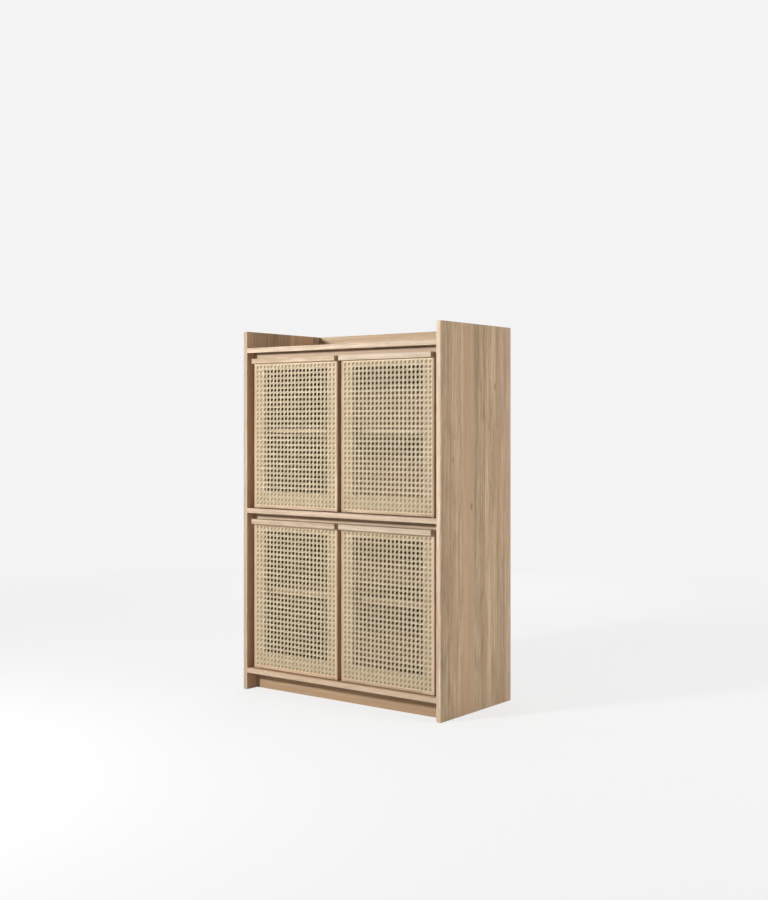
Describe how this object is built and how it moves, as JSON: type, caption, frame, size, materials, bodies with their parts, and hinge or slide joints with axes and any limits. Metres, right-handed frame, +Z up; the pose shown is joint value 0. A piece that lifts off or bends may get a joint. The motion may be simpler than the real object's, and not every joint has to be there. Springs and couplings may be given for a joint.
{
  "type": "shoe cabinet",
  "caption": "Tall wooden shoe cabinet with side-hung doors of open-mesh woven cane, loose shelves and an open tray on top.",
  "frame": {"origin": "on the floor, at the middle of the cabinet's footprint", "axes": "+X to the right as seen from the front, -Y out of the doors, +Z up"},
  "size_m": [0.8, 0.4, 1.2],
  "materials": {
    "oak": "matt clear lacquer on pale oak",
    "door_oak": "matt clear lacquer on pale oak",
    "back_board": "oak-faced plywood, matt",
    "beech": "plain beech dowel",
    "cane": "natural woven cane, satin skin",
    "reed": "natural reed spline",
    "steel": "zinc-plated steel",
    "brass": "turned brass, satin",
    "magnet": "dark sintered magnet"
  },
  "bodies": {
    "cabinet": {"back_panel": "back_board", "back_rail": "oak", "bottom_board": "oak", "catch_magnets": "magnet", "centre_posts": "oak", "dowels": "beech", "front_plinth": "oak", "hinge_bushes": "brass", "lower_shelf": "oak", "lower_stop_rail": "oak", "middle_board": "oak", "rear_plinth": "oak", "shelf_pins": "steel", "side_panel_left": "oak", "side_panel_right": "oak", "side_posts": "oak", "top_brackets": "steel", "tray_board": "oak", "upper_shelf": "oak", "upper_stop_rail": "oak"},
    "lower_left_door": {"lower_left_bottom_rail": "door_oak", "lower_left_cane_panel": "cane", "lower_left_cane_spline": "reed", "lower_left_handle": "door_oak", "lower_left_handle_screws": "steel", "lower_left_hinge_pins": "steel", "lower_left_hinge_stile": "door_oak", "lower_left_meeting_stile": "door_oak", "lower_left_strike_plate": "steel", "lower_left_top_rail": "door_oak"},
    "lower_right_door": {"lower_right_bottom_rail": "door_oak", "lower_right_cane_panel": "cane", "lower_right_cane_spline": "reed", "lower_right_handle": "door_oak", "lower_right_handle_screws": "steel", "lower_right_hinge_pins": "steel", "lower_right_hinge_stile": "door_oak", "lower_right_meeting_stile": "door_oak", "lower_right_strike_plate": "steel", "lower_right_top_rail": "door_oak"},
    "upper_left_door": {"upper_left_bottom_rail": "door_oak", "upper_left_cane_panel": "cane", "upper_left_cane_spline": "reed", "upper_left_handle": "door_oak", "upper_left_handle_screws": "steel", "upper_left_hinge_pins": "steel", "upper_left_hinge_stile": "door_oak", "upper_left_meeting_stile": "door_oak", "upper_left_strike_plate": "steel", "upper_left_top_rail": "door_oak"},
    "upper_right_door": {"upper_right_bottom_rail": "door_oak", "upper_right_cane_panel": "cane", "upper_right_cane_spline": "reed", "upper_right_handle": "door_oak", "upper_right_handle_screws": "steel", "upper_right_hinge_pins": "steel", "upper_right_hinge_stile": "door_oak", "upper_right_meeting_stile": "door_oak", "upper_right_strike_plate": "steel", "upper_right_top_rail": "door_oak"}
  },
  "joints": [
    {"name": "upper_left_door_hinge", "type": "hinge", "parent": "cabinet", "child": "upper_left_door", "pos_m": [-0.356, -0.175, 0.608], "axis": [0, 0, -1], "range_deg": [0, 90]},
    {"name": "upper_right_door_hinge", "type": "hinge", "parent": "cabinet", "child": "upper_right_door", "pos_m": [0.356, -0.175, 0.608], "axis": [0, 0, 1], "range_deg": [0, 90]},
    {"name": "lower_left_door_hinge", "type": "hinge", "parent": "cabinet", "child": "lower_left_door", "pos_m": [-0.356, -0.175, 0.072], "axis": [0, 0, -1], "range_deg": [0, 90]},
    {"name": "lower_right_door_hinge", "type": "hinge", "parent": "cabinet", "child": "lower_right_door", "pos_m": [0.356, -0.175, 0.072], "axis": [0, 0, 1], "range_deg": [0, 90]}
  ]
}
